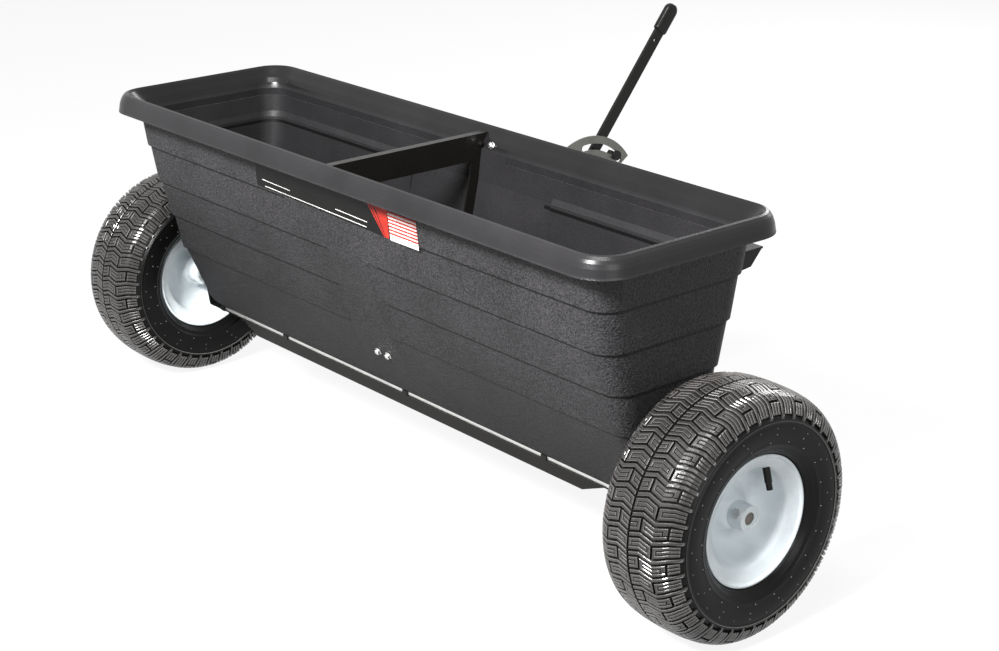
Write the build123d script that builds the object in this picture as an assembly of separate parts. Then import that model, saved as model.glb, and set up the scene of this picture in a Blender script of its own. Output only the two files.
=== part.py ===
# Tow-behind drop spreader: a long moulded trough hopper on a through axle with two turf
# wheels, a slide gate worked by a fore and aft lever, and a short tongue on a parking stand.
# Millimetres. +X runs along the axle, +Y points forward to the towing hitch, +Z is up.
# The origin lies on the floor, below the middle of the whole machine's box.
import math
import os
from build123d import *

# Wheels and axle
tyre_r = 190.5
tyre_half_width = 75
tread_half_width = 58
tyre_wall = 7
wheel_x = 706
rim_half_width = 60
flange_r = 97
rim_sheet = 3
hub_r = 19.5
hub_bush_r = 14.5
hub_bush_recess = 1.5
hub_half = 49
axle_r = 9.5
fit = 0.05
axle_z = tyre_r
axle_left_end = 768
axle_recess = 3
axle_right_end = wheel_x + hub_half - axle_recess
drive_bolt_r = 4
drive_bolt_in = 10
drive_bolt_turn = 30
cotter_r = 1.5

# Tyre profile: half width and radius at each turn, from crown to bead
crown_half = 29
crown_half_r = 189.75
tread_edge_r = 186
shoulder_x = 68
shoulder_r = 175.5
side_high_r = 157.5
side_low_r = 132
bead_bulge_x = 71.5
bead_bulge_r = 114
crown_inside_r = 178.5

# Shares of the rim's half width and the flange radius along one pressed half, lip to hub
lip_shares = ((0.958, 1.0), (1.0, 0.979), (0.992, 0.948), (0.933, 0.912))
bead_shares = ((0.875, 0.866), (0.842, 0.814), (0.8, 0.778), (0.7, 0.755))
bowl_shares = ((0.55, 0.737), (0.367, 0.696), (0.2, 0.619), (0.092, 0.521), (0.047, 0.433), (0.1, 0.34),
               (0.2, 0.309), (0.3, 0.268), (0.35, 0.232))
hub_root_share = 0.37
valve_r = 5.5
valve_cap_r = 4.6
valve_cap_length = 11
valve_foot_x = 43
valve_foot_y = 32
valve_foot_up = 76
valve_tip_x = 52
valve_tip_y = 34
valve_tip_up = 36

# Hopper: outer half length, outer half width and corner radius at each height
wall = 5
hopper_bottom = 160
rim_top = 577
rim_out_x = 644.5
rim_out_y = 188.5
mouth_half_x = 629
mouth_half_y = 173
mouth_corner = 45

# The rolled rim from its crest: how far each level lies outside the crest and below it
skirt_levels = ((0, 0), (4, 1.2), (8, 5.5), (10.5, 10), (13, 17), (15.5, 31.4))
under_levels = ((4, 8), (6.5, 12.5), (8.8, 18.5), (11.5, 31.4))
funnel_levels = ((0, 0), (-4.5, 3.4), (-11, 12), (-16.5, 18.5), (-20.5, 26.5), (-24, 36))
back_levels = ((-1.5, 8), (-8, 15), (-13, 21), (-17, 27), (-19, 31.4))
end_share = 0.842
corner_share = 0.263
ledge = 4
end_ledge = 2
ledge_slant = 9.5
crease_share = 0.527
crease_step = 0.4
crease_gap = 58
neck = rim_top - back_levels[-1][1]
first_band = 61.1
second_band = 67.5
lower_band = 67
line_1 = neck - first_band
line_2 = line_1 - second_band
line_3 = line_2 - lower_band
line_4 = line_3 - lower_band
mouth_crease = rim_top - crease_share * (rim_top - line_1)
turn_top = 178
turn_mid = 167
neck_half_x = 613
neck_half_y = 154
half_x_1 = 606.5
half_y_1 = 147
half_x_2 = 601
half_y_2 = 132
half_x_3 = 599
half_y_3 = 110
half_x_4 = 598
half_y_4 = 89
end_x = 596
turn_half_y = 36
turn_mid_x = 588
turn_mid_y = 31
floor_half_x = 566
floor_half_y = 25.5
corner_neck = 40
corner_1 = 38
corner_2 = 37
corner_3 = 34
corner_4 = 30
corner_turn = 20
corner_floor = 16
pad_half_x = 42
pad_fade = 26
rear_pad_half_x = 152
front_pad_half_x = 178
wide_pad_fade = 8
floor_slot_half_y = 12
floor_slot_half_x = 118
floor_slot_places = (-410, -140, 140, 410)

# Gate and bottom rail
gate_half_x = 556
gate_half_y = 24.3
gate_sheet = 2
gate_lip = 6
slide_gap = 0.4
rail_half_y = 25
rail_sheet = 2
rail_drop = 20
rail_top_half_x = 488
rail_bottom_half_x = 438
tab_width = 12
tab_places = (-552, -349, 0, 349, 552)
hole_r = 6
hole_pitch = 54
holes_per_slot = 4

# Axle end plates
plate_t = 3
end_plate_half_low = 26
end_plate_half_high = 40
end_plate_top = 256
bush_r = 14
bush_flange_r = 20
bush_flange_t = 4
bush_half = 11
collar_r = 15
run_gap = 5
end_play = 1
agitator_wall = 3
agitator_pin_r = 3
agitator_reach = 24
agitator_fingers = 8

# Middle brace in the mouth
brace_t = 3
brace_top = 568
brace_web = 44
brace_flange = 12
leg_width = 19
leg_bottom = 228
brace_x = -10
foot_half_x = 24
foot_height = 26
seat_gap = 0.3

# Gauge plate, lever, rod and bellcrank
gauge_x = 150
gauge_t = 3
pivot_y = 242
pivot_z = 471
gauge_radius = 106.6
slot_outer_radius = 94
slot_inner_radius = 83.5
slot_low_angle = 40
slot_high_angle = 96
gauge_low_angle = 34
gauge_clear_rim = 3
gauge_flange = 27
lever_t = 5
lever_gap = 6
lever_w = 20
lever_bend_radius = 78
lever_bend_angle = 15.2
lever_lean = 38.9
lever_upper = 269
grip_length = 54
grip_w = 28
grip_t = 13
lever_hole_r = 3.3
lever_hole_below_grip = 16
pivot_bolt_r = 5
arm_length = 40
arm_w = 18
lever_mid = 3
lever_forward = -12
stop_angle = 47.3
stop_length = 14
stop_w = 7
rod_r = 3
rod_gap = 5
crank_arm = 50
crank_t = 4
crank_w = 16
crank_y = 72
rod_foot_y = 90
crank_pivot_z = 215
crank_slack = 1.9
crank_bracket_t = 3
crank_bracket_gap = 5
lug_t = 3
lug_y = 59
lug_w = 18
lug_top = 178
lug_slot_slack = 1.6
lug_slot_side = 0.35

# Tongue, braces, hitch and stand
tongue_side = 32
tongue_wall = 2.5
tongue_front_y = 716
tongue_front_z = 264.5
tongue_rear_z = 141
hitch_plate_t = 5
hitch_gap = 26
hitch_half_x = 23
hitch_pin_y = 748
hitch_pin_r = 8.25
rail_bracket_half_x = 48
rail_bracket_t = 4
side_brace_x = 300
side_brace_y = 400
brace_bar_w = 25
brace_bar_t = 4
strut_w = 30
strut_t = 5
strut_y = 300
strut_low = 425
strut_high = 475
stand_y = 680
stand_tube = 20
stand_gap = 5
stand_bolt_r = 5
stand_rake = 20
stand_head = 14
stand_foot_y = 60
stand_foot_x = 46
stand_foot_t = 4

# Corner brackets on the front wall under the rim
gusset_x = 589
gusset_width = 60
gusset_t = 3
gusset_top = 510
gusset_tip_y = 186
gusset_low_y = 162
gusset_low_z = 484
gusset_wall_z = 481

# The frame's middle lies halfway between the rear of the tyres and the hitch's front
frame_y = (hitch_pin_y + hitch_half_x - tyre_r) / 2
over = 20


def save(node, shape):
    os.makedirs("parts", exist_ok=True)
    export_step(Pos(0, -frame_y, 0) * shape, "parts/" + node + ".step")


def yz(points):
    # A face in the YZ plane at x = 0; extrude moves it along +X
    plane = Plane(origin=(0, 0, 0), x_dir=(0, 1, 0), z_dir=(1, 0, 0))
    return plane * make_face(Polyline(*points, close=True))


def yz_slab(points, x_from, x_to):
    return Pos(x_from, 0, 0) * extrude(yz(points), amount=x_to - x_from)


def xz_slab(points, y_from, y_to):
    # The XZ plane's normal is -Y, so the slab grows from y_to back to y_from
    return Pos(0, y_to, 0) * extrude(Plane.XZ * make_face(Polyline(*points, close=True)), amount=y_to - y_from)


def offset_line(points, thickness):
    # The same open line moved to its left, mitred at its corners
    shifted = []
    for index, point in enumerate(points):
        before = points[max(index - 1, 0)]
        after = points[min(index + 1, len(points) - 1)]
        normals = []
        for start, end in ((before, point), (point, after)):
            length = math.dist(start, end)
            if length > 0:
                normals.append(((start[1] - end[1]) / length, (end[0] - start[0]) / length))
        mean_u = sum(n[0] for n in normals) / len(normals)
        mean_v = sum(n[1] for n in normals) / len(normals)
        square = mean_u ** 2 + mean_v ** 2
        shifted.append((point[0] + thickness * mean_u / square, point[1] + thickness * mean_v / square))
    return shifted


def strip(points, thickness):
    # A band of even thickness on the left of an open line
    return list(points) + offset_line(points, thickness)[::-1]


def rod_between(start, end, radius):
    line = Vector(*end) - Vector(*start)
    plane = Plane(origin=start, z_dir=line)
    return extrude(plane * Circle(radius), amount=line.length)


def bar_between(start, end, width, thickness, across):
    # A flat bar from start to end; its width lies along the across direction
    line = Vector(*end) - Vector(*start)
    plane = Plane(origin=start, x_dir=across, z_dir=line)
    return extrude(plane * Rectangle(width, thickness), amount=line.length)


def box_between(low, high):
    size = [b - a for a, b in zip(low, high)]
    middle = [(a + b) / 2 for a, b in zip(low, high)]
    return Pos(*middle) * Box(*size)


def turned(points):
    # Revolve an outline of (distance from the wheel's middle, radius) about the axle line
    face = Plane.XZ * make_face(Polyline(*points, close=True))
    return Pos(0, 0, axle_z) * revolve(face, Axis.X)


# Hopper levels: half length, half width, corner and height at the top and bottom of each band
bands = (
    ((neck_half_x, neck_half_y, corner_neck, neck), (half_x_1, half_y_1, corner_1, line_1)),
    ((half_x_1 - end_ledge, half_y_1 - ledge, corner_1, line_1), (half_x_2, half_y_2, corner_2, line_2)),
    ((half_x_2 - end_ledge, half_y_2 - ledge, corner_2, line_2), (half_x_3, half_y_3, corner_3, line_3)),
    ((half_x_3 - end_ledge, half_y_3 - ledge, corner_3, line_3), (half_x_4, half_y_4, corner_4, line_4)),
    ((half_x_4 - end_ledge, half_y_4 - ledge, corner_4, line_4), (end_x, turn_half_y, corner_turn, turn_top)),
    ((end_x, turn_half_y, corner_turn, turn_top), (turn_mid_x, turn_mid_y, corner_turn, turn_mid)),
    ((turn_mid_x, turn_mid_y, corner_turn, turn_mid), (floor_half_x, floor_half_y, corner_floor, hopper_bottom)),
)


def level(half_x, half_y, corner, height):
    return Plane.XY.offset(height) * RectangleRounded(2 * half_x, 2 * half_y, corner)


def stack(levels):
    # Straight bands from level to level, each given as half length, half width, corner and height
    solid = None
    for upper, lower in zip(levels, levels[1:]):
        band = loft([level(*lower), level(*upper)], ruled=True)
        solid = band if solid is None else solid + band
    return solid


def rim_levels(table):
    # Levels around the mouth, by their distance outside its crest and below it
    levels = []
    for out, down in table:
        end = out if out > 0 else out * end_share
        corner = out if out > 0 else out * corner_share
        levels.append((mouth_half_x + end, mouth_half_y + out, mouth_corner + corner, rim_top - down))
    return levels


def pad_line(height):
    # Half width of the plain pad in the middle of the long walls, without the ledges
    places = ((neck, neck_half_y), (line_1, half_y_1), (line_2, half_y_2), (line_3, half_y_3), (line_4, half_y_4),
              (turn_top, turn_half_y), (turn_mid, turn_mid_y), (hopper_bottom, floor_half_y))
    for (high, y_high), (low, y_low) in zip(places, places[1:]):
        if height >= low:
            return y_low + (y_high - y_low) * (height - low) / (high - low)
    return floor_half_y


def inside_line(height):
    # Half width of the inner face at the middle brace: the mouth's funnel, then the plain pad below
    places = [(rim_top - down, mouth_half_y + out) for out, down in funnel_levels]
    places.append((line_1 + wall + ledge_slant, pad_line(line_1 + ledge_slant) - wall))
    for (high, y_high), (low, y_low) in zip(places, places[1:]):
        if height >= low:
            return y_low + (y_high - y_low) * (height - low) / (high - low)
    return pad_line(height - wall) - wall


def pad_face(half_x, fade, y_end, y_middle, height, side):
    line = [(-half_x - fade, y_end - ledge), (-half_x - fade, y_end), (-half_x, y_middle), (half_x, y_middle),
            (half_x + fade, y_end), (half_x + fade, y_end - ledge)]
    return Plane.XY.offset(height) * make_face(Polyline(*[(x, side * y) for x, y in line], close=True))


def outer_pads():
    # Plain pads in the middle of the long walls that fill each ledge and fade out sideways
    shape = None
    for side, wide in ((-1, rear_pad_half_x), (1, front_pad_half_x)):
        for index, half_x in enumerate((wide, pad_half_x, pad_half_x, pad_half_x), 1):
            fade = wide_pad_fade if half_x == wide else pad_fade
            y_low = bands[index][1][1]
            y_out = bands[index - 1][1][1]
            pad = loft([pad_face(half_x, fade, y_low, y_low, bands[index][1][3], side),
                        pad_face(half_x, fade, y_out - ledge, y_out, bands[index][0][3], side)], ruled=True)
            shape = pad if shape is None else shape + pad
    return shape


def inner_pads():
    # Inside, the pads end squarely; they carry the plain wall through the slanted bands too
    shape = None
    for side, wide in ((-1, rear_pad_half_x), (1, front_pad_half_x)):
        for half_x, heights in ((wide, (line_2, line_1, line_1 + ledge_slant)),
                                (pad_half_x, (turn_top, line_4, line_3, line_2, line_2 + ledge_slant))):
            face = [(side * (pad_line(z) - wall), z + wall) for z in heights]
            back = [(side * (pad_line(z) - 3 * wall), z + wall) for z in heights]
            pad = yz_slab(face + back[::-1], -half_x, half_x)
            shape = pad if shape is None else shape + pad
    return shape


def hopper_outside():
    solid = None
    for top, bottom in bands:
        band = stack([top, bottom])
        solid = band if solid is None else solid + band
    return solid + outer_pads()


def hopper_inside():
    # Each ledge shows inside as a short slanted band
    levels = rim_levels(funnel_levels)
    for index, (top, bottom) in enumerate(bands):
        if index > 0:
            x, y, corner, z = top
            levels.append((x - wall, y - wall, corner - wall, z + wall))
        if bottom[3] >= line_4:
            share = (ledge_slant) / (top[3] - bottom[3])
            x, y, corner, z = [low + (high - low) * share for low, high in zip(bottom, top)]
            levels.append((x - wall, y - wall, corner - wall, z + wall))
    x, y, corner, z = bands[-1][1]
    levels.append((x - wall, y - wall, corner - wall, z + wall))
    return stack(levels) + inner_pads()


def hopper():
    skirt = stack(rim_levels(skirt_levels))
    back_low = (neck_half_x - end_ledge, neck_half_y - end_ledge, corner_neck, neck - over)
    back = stack(rim_levels(back_levels) + [back_low])
    under_low = (under_levels[-1][0], under_levels[-1][1] + over)
    under = stack(rim_levels(under_levels + (under_low,)))
    body = skirt - (under - back) + hopper_outside()
    mouth = extrude(level(mouth_half_x, mouth_half_y, mouth_corner, rim_top), amount=over)
    neck_levels = rim_levels(funnel_levels[-1:])
    x, y, corner, z = neck_levels[0]
    crease = stack([(x, y, corner, z), (x, y - crease_step, corner, mouth_crease)])
    crease -= box_between((-crease_gap, -rim_out_y, mouth_crease - over), (crease_gap, rim_out_y, rim_top))
    body = body - hopper_inside() - mouth - crease
    for place in floor_slot_places:
        slot = SlotOverall(2 * floor_slot_half_x, 2 * floor_slot_half_y)
        body -= Pos(place, 0, hopper_bottom - over) * extrude(slot, amount=2 * over + wall)
    shaft_hole = Pos(0, 0, axle_z) * Rot(0, 90, 0) * Cylinder(bush_r + seat_gap, 2 * rim_out_x)
    return body - shaft_hole


def middle_brace():
    def inner(height):
        return inside_line(height) - seat_gap
    neck_z = rim_top - funnel_levels[-1][1]
    lows = (leg_bottom, line_4 + wall, line_3 + wall, line_2 + wall, line_1 + wall + ledge_slant)
    heights = lows + (neck_z,) + tuple(rim_top - down for out, down in funnel_levels[-2:0:-1]
                                      if rim_top - down < brace_top - brace_t)
    shape = None
    for side in (-1, 1):
        edge = [(side * inner(z), z) for z in heights]
        back = [(side * (inner(z) - leg_width), z) for z in heights]
        leg = yz_slab(edge + back[::-1], brace_x, brace_x + brace_t)
        shape = leg if shape is None else shape + leg
        for low, x_end in ((leg_bottom, foot_half_x), (neck_z - foot_height, 0)):
            line = [(side * inner(low), low), (side * inner(low + foot_height), low + foot_height)]
            foot = strip(line, side * brace_t)
            shape += yz_slab(foot, brace_x - foot_half_x, brace_x + brace_t + x_end)
    low_y = inner(brace_top - brace_web)
    web = [(side * inner(z), z) for side, order in ((1, 1), (-1, -1))
           for z in ((brace_top - brace_web,) + heights[len(lows):] + (brace_top,))[::order]]
    shape += yz_slab(web, brace_x, brace_x + brace_t)
    flange_y = inner(brace_top - brace_t)
    low_corner = (brace_x - brace_flange, -flange_y, brace_top - brace_t)
    shape += box_between(low_corner, (brace_x + brace_t, flange_y, brace_top))
    return shape


gate_low = hopper_bottom - gate_lip - slide_gap
rail_top = gate_low - slide_gap


def metering_places():
    places = []
    for slot_x in floor_slot_places:
        for index in range(holes_per_slot):
            places.append(slot_x + hole_pitch * (index - (holes_per_slot - 1) / 2))
    return places


def bottom_rail():
    low = rail_top - rail_drop
    web_low = rail_top - rail_sheet
    rail = box_between((-end_x - plate_t, -rail_half_y, web_low), (end_x + plate_t, rail_half_y, rail_top))
    flange = [(-rail_top_half_x, rail_top), (-rail_bottom_half_x, low), (rail_bottom_half_x, low),
              (rail_top_half_x, rail_top)]
    tab_out = rail_half_y + rail_sheet
    for side in (-1, 1):
        near, far = sorted((side * rail_half_y, side * tab_out))
        rail += xz_slab(flange, near, far)
        for place in tab_places:
            rail += box_between((place - tab_width / 2, near, web_low), (place + tab_width / 2, far, hopper_bottom))
    for place in metering_places():
        rail -= Pos(place, 0, rail_top) * Cylinder(hole_r, over)
    return rail


crank_rest = math.degrees(math.asin(arm_length * math.sin(math.radians(lever_mid)) / crank_arm))
rod_x = gauge_x - lever_gap - lever_t - rod_gap - rod_r
crank_x = rod_x + crank_arm
gate_open = crank_arm * math.sin(math.radians(arm_length / crank_arm * (lever_mid - lever_forward)))


def crank_point(arm_x, arm_z):
    # A point of the bellcrank given level, turned to where it stands at rest
    turn = math.radians(crank_rest)
    x = arm_x * math.cos(turn) + arm_z * math.sin(turn)
    z = -arm_x * math.sin(turn) + arm_z * math.cos(turn)
    return crank_x + x, crank_pivot_z + z


def gate():
    plate = box_between((-gate_half_x, -gate_half_y, gate_low), (gate_half_x, gate_half_y, gate_low + gate_sheet))
    for side in (-1, 1):
        near, far = sorted((side * gate_half_y, side * (gate_half_y - gate_sheet)))
        plate += box_between((-gate_half_x, near, gate_low), (gate_half_x, far, gate_low + gate_lip))
    shift = gate_open - crank_arm * math.sin(math.radians(crank_rest))
    for place in metering_places():
        plate -= Pos(place + shift, 0, gate_low) * Cylinder(hole_r, over)
    pin_x, pin_z = crank_point(0, -crank_arm)
    reach = lug_y + lug_t
    tongue = box_between((pin_x - lug_w / 2, gate_half_y - gate_sheet, gate_low), (pin_x + lug_w / 2, reach,
                         gate_low + gate_sheet))
    lug = box_between((pin_x - lug_w / 2, lug_y, gate_low), (pin_x + lug_w / 2, reach, lug_top))
    slot = SlotOverall(2 * (rod_r + lug_slot_slack), 2 * (rod_r + lug_slot_side), 90)
    hole = Pos(pin_x, lug_y + lug_t / 2, pin_z) * Rot(90, 0, 0) * extrude(slot, amount=over, both=True)
    return plate + tongue + (lug - hole)


def end_plate(side):
    outline = [(-end_plate_half_low, rail_top), (end_plate_half_low, rail_top),
               (end_plate_half_high, end_plate_top), (-end_plate_half_high, end_plate_top)]
    low, high = sorted((side * end_x, side * (end_x + plate_t)))
    plate = yz_slab(outline, low, high)
    return plate - Pos(0, 0, axle_z) * Rot(0, 90, 0) * Cylinder(bush_r + fit, 2 * rim_out_x)


def bush(side):
    start = end_x - bush_half
    tube = [(start, axle_r + fit), (end_x + bush_half, axle_r + fit), (end_x + bush_half, bush_r),
            (end_x + plate_t + bush_flange_t, bush_r), (end_x + plate_t + bush_flange_t, bush_flange_r),
            (end_x + plate_t, bush_flange_r), (end_x + plate_t, bush_r), (start, bush_r)]
    return turned([(side * x, r) for x, r in tube])


def collar(side):
    # The gap beside the bush is a running one; the hub side nearly touches
    inner = end_x + bush_half + run_gap
    outer = wheel_x - hub_half - (fit if side > 0 else end_play)
    ring = [(inner, axle_r), (outer, axle_r), (outer, collar_r), (inner, collar_r)]
    return turned([(side * x, r) for x, r in ring])


bolt_x = wheel_x + hub_half - drive_bolt_in
cotter_x = -(wheel_x + hub_half + 2 * rim_sheet + fit)
drive_turn = Rot(90 - drive_bolt_turn, 0, 0)


def axle():
    ends = [(-axle_left_end, 0), (axle_right_end, 0), (axle_right_end, axle_r), (-axle_left_end, axle_r)]
    shaft = turned(ends)
    shaft -= Pos(bolt_x, 0, axle_z) * drive_turn * Cylinder(drive_bolt_r, 2 * hub_r)
    return shaft - Pos(cotter_x, 0, axle_z) * Rot(90, 0, 0) * Cylinder(cotter_r, 3 * axle_r)


def drive_bolt():
    middle = Pos(bolt_x, 0, axle_z) * drive_turn
    out = hub_r + drive_bolt_r / 2
    hexagon = extrude(RegularPolygon(drive_bolt_r * 2, 6), amount=drive_bolt_r / 2, both=True)
    bolt = middle * Cylinder(drive_bolt_r, 2 * hub_r)
    return bolt + middle * Pos(0, 0, out) * hexagon + middle * Pos(0, 0, -out) * hexagon


def agitator(side):
    # A tube on the axle inside one compartment, with crossed fingers in turn
    inner = pad_half_x + run_gap
    outer = end_x - wall - bush_half - run_gap
    tube = turned([(inner, axle_r), (outer, axle_r), (outer, axle_r + agitator_wall), (inner, axle_r + agitator_wall)])
    pitch = (outer - inner) / agitator_fingers
    for index in range(agitator_fingers):
        x = inner + pitch * (index + 1 / 2)
        turn = Rot(90 * index, 0, 0)
        finger = turn * Cylinder(agitator_pin_r, 2 * agitator_reach)
        tube += Pos(x, 0, axle_z) * finger
    bore = turned([(inner - over, 0), (outer + over, 0), (outer + over, axle_r), (inner - over, axle_r)])
    tube -= bore
    return tube if side > 0 else mirror(tube, Plane.YZ)


def rim_line(*tables):
    return [(rim_half_width * x, flange_r * r) for table in tables for x, r in table]


def wheel_rim():
    # Two pressed bowls back to back, each with a rolled lip, a bead seat and a raised middle
    line = rim_line(lip_shares, bead_shares, bowl_shares) + [(rim_half_width * hub_root_share, hub_r)]
    half = turned(strip(line, -rim_sheet))
    hub_room = [(-rim_half_width, 0), (rim_half_width, 0), (rim_half_width, hub_r), (-rim_half_width, hub_r)]
    return half + mirror(half, Plane.YZ) - turned(hub_room)


def wheel_hub(side):
    bush_in = hub_half - hub_bush_recess
    hub = turned([(-bush_in, axle_r + fit), (bush_in, axle_r + fit), (bush_in, hub_bush_r), (hub_half, hub_bush_r),
                  (hub_half, hub_r), (-hub_half, hub_r), (-hub_half, hub_bush_r), (-bush_in, hub_bush_r)])
    if side > 0:
        hub -= Pos(bolt_x - wheel_x, 0, axle_z) * drive_turn * Cylinder(drive_bolt_r, 2 * hub_r)
    return hub


def tyre():
    seat = offset_line(rim_line(lip_shares, bead_shares), -rim_sheet - seat_gap)[len(lip_shares) - 1:]
    outer = [(0, tyre_r), (crown_half, crown_half_r), (tread_half_width, tread_edge_r), (shoulder_x, shoulder_r),
             (tyre_half_width, side_high_r), (tyre_half_width, side_low_r), (bead_bulge_x, bead_bulge_r),
             (rim_half_width, flange_r + rim_sheet), (seat[0][0], flange_r)] + seat
    inner = [(seat[-1][0], flange_r), (tyre_half_width - tyre_wall, bead_bulge_r),
             (tyre_half_width - tyre_wall, side_high_r), (tread_half_width - tyre_wall, shoulder_r),
             (0, crown_inside_r)]
    left = [(-x, r) for x, r in outer]
    outline = left[:0:-1] + outer + inner + [(-x, r) for x, r in inner[-2::-1]]
    return turned(outline)


def valve():
    # It hangs from the barrel towards the hub, on the outer side
    foot = Vector(valve_foot_x, valve_foot_y, axle_z + valve_foot_up)
    tip = Vector(valve_tip_x, valve_tip_y, axle_z + valve_tip_up)
    cap = tip + (foot - tip).normalized() * valve_cap_length
    stem = rod_between(tuple(foot), tuple(cap), valve_r) + rod_between(tuple(cap), tuple(tip), valve_cap_r)
    space = rim_line(lip_shares, bead_shares, bowl_shares[:3])
    return stem & turned([(space[-1][0], 0)] + space[::-1] + [(space[0][0], 0)])


def washer(side):
    start = wheel_x + hub_half + fit
    return turned([(side * x, r) for x, r in ((start, axle_r), (start + rim_sheet, axle_r),
                                              (start + rim_sheet, hub_r), (start, hub_r))])


def cotter():
    return Pos(cotter_x, 0, axle_z) * Rot(90, 0, 0) * Cylinder(cotter_r, 3 * axle_r)


def polar(radius, angle):
    turn = math.radians(angle)
    return pivot_y + radius * math.cos(turn), pivot_z + radius * math.sin(turn)


def gauge_plate():
    rear_y = rim_out_y + gauge_clear_rim
    high = math.degrees(math.acos((rear_y - pivot_y) / gauge_radius))
    lip_low = rim_top - skirt_levels[-1][1] - gauge_clear_rim
    start = polar(gauge_radius, high)
    middle = polar(gauge_radius, (high + gauge_low_angle) / 2)
    end = polar(gauge_radius, gauge_low_angle)
    foot_low = line_1 + gauge_clear_rim
    foot_high = foot_low + 2 * gauge_flange
    plane = Plane(origin=(gauge_x, 0, 0), x_dir=(0, 1, 0), z_dir=(1, 0, 0))
    inner_end = polar(slot_inner_radius - gauge_clear_rim, gauge_low_angle)
    chain = [end, inner_end, (pivot_y + lever_w, pivot_z - lever_w), (pivot_y - lever_w, pivot_z - lever_w),
             (pad_line(foot_low), foot_low), (pad_line(foot_high), foot_high), (rear_y, lip_low), start]
    outline = [ThreePointArc(start, middle, end), Polyline(*chain)]
    plate = extrude(plane * make_face(outline), amount=gauge_t)
    slot_middle = (slot_low_angle + slot_high_angle) / 2
    slot_r = (slot_outer_radius + slot_inner_radius) / 2
    arc = ThreePointArc(polar(slot_r, slot_low_angle), polar(slot_r, slot_middle), polar(slot_r, slot_high_angle))
    slot = plane * SlotArc(arc, slot_outer_radius - slot_inner_radius)
    plate -= extrude(slot, amount=over, both=True)
    plate -= rod_between((gauge_x - over, pivot_y, pivot_z), (gauge_x + over, pivot_y, pivot_z), pivot_bolt_r)
    line = [(pad_line(foot_low), foot_low), (pad_line(foot_high), foot_high)]
    return plate + yz_slab(strip(line, -gauge_t), gauge_x, gauge_x + gauge_flange)


lever_x = gauge_x - lever_gap - lever_t


def lever_line():
    bend = polar(lever_bend_radius, 90 - lever_bend_angle)
    lean = math.radians(lever_lean)
    top = (bend[0] + lever_upper * math.sin(lean), bend[1] + lever_upper * math.cos(lean))
    arm_turn = math.radians(lever_mid)
    arm = (pivot_y - arm_length * math.cos(arm_turn), pivot_z + arm_length * math.sin(arm_turn))
    return bend, top, arm


def flat_link(start, end, width):
    middle = ((start[0] + end[0]) / 2, (start[1] + end[1]) / 2)
    length = math.dist(start, end)
    angle = math.degrees(math.atan2(end[1] - start[1], end[0] - start[0]))
    return Pos(*middle) * SlotCenterToCenter(length, width, angle)


def flat_bar(start, end, width):
    middle = ((start[0] + end[0]) / 2, (start[1] + end[1]) / 2)
    angle = math.degrees(math.atan2(end[1] - start[1], end[0] - start[0]))
    return Pos(*middle) * Rot(0, 0, angle) * Rectangle(math.dist(start, end), width)


def lever():
    bend, top, arm = lever_line()
    plane = Plane(origin=(lever_x, 0, 0), x_dir=(0, 1, 0), z_dir=(1, 0, 0))
    pivot = (pivot_y, pivot_z)
    face = flat_link(pivot, bend, lever_w) + flat_link(bend, top, lever_w) + flat_link(pivot, arm, arm_w)
    blade = extrude(plane * face, amount=lever_t)
    x_low = lever_x - over
    x_high = lever_x + over
    blade -= rod_between((x_low, *pivot), (x_high, *pivot), pivot_bolt_r + fit)
    blade -= rod_between((x_low, *arm), (x_high, *arm), rod_r + fit)
    lean = math.radians(lever_lean)
    below = grip_length - grip_w / 2 + lever_hole_below_grip
    hole = (top[0] - below * math.sin(lean), top[1] - below * math.cos(lean))
    return blade - rod_between((x_low, *hole), (x_high, *hole), lever_hole_r)


def lever_grip():
    bend, top, arm = lever_line()
    lean = math.radians(lever_lean)
    below = grip_length - grip_w / 2
    low = (top[0] - below * math.sin(lean), top[1] - below * math.cos(lean))
    plane = Plane(origin=(lever_x + lever_t / 2 - grip_t / 2, 0, 0), x_dir=(0, 1, 0), z_dir=(1, 0, 0))
    face = flat_bar(low, top, grip_w) + Pos(*top) * Circle(grip_w / 2)
    body = extrude(plane * face, amount=grip_t)
    core = Plane(origin=(lever_x, 0, 0), x_dir=(0, 1, 0), z_dir=(1, 0, 0))
    return body - extrude(core * flat_link(bend, top, lever_w), amount=lever_t)


def lever_pivot():
    start = lever_x - pivot_bolt_r
    end = gauge_x + gauge_t + pivot_bolt_r
    bolt = rod_between((start, pivot_y, pivot_z), (end, pivot_y, pivot_z), pivot_bolt_r)
    bolt += rod_between((start, pivot_y, pivot_z), (lever_x - seat_gap, pivot_y, pivot_z), 2 * pivot_bolt_r)
    bolt += rod_between((lever_x + lever_t + seat_gap, pivot_y, pivot_z), (gauge_x, pivot_y, pivot_z),
                        3 / 2 * pivot_bolt_r)
    return bolt + rod_between((gauge_x + gauge_t, pivot_y, pivot_z), (end, pivot_y, pivot_z), 2 * pivot_bolt_r)


def gauge_stop():
    # A clamped block behind the slot that the lever comes up against
    middle = polar((slot_outer_radius + slot_inner_radius) / 2, stop_angle)
    plane = Plane(origin=(lever_x, *middle), x_dir=(0, math.sin(math.radians(stop_angle)),
                  -math.cos(math.radians(stop_angle))), z_dir=(1, 0, 0))
    block = extrude(plane * Rectangle(stop_length, stop_w), amount=gauge_x - lever_x)
    stem_r = (slot_outer_radius - slot_inner_radius) / 2 - seat_gap
    x_end = gauge_x + gauge_t + stem_r
    block += rod_between((gauge_x, *middle), (x_end, *middle), stem_r)
    return block + rod_between((gauge_x + gauge_t, *middle), (x_end, *middle), stem_r + gauge_t)


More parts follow.
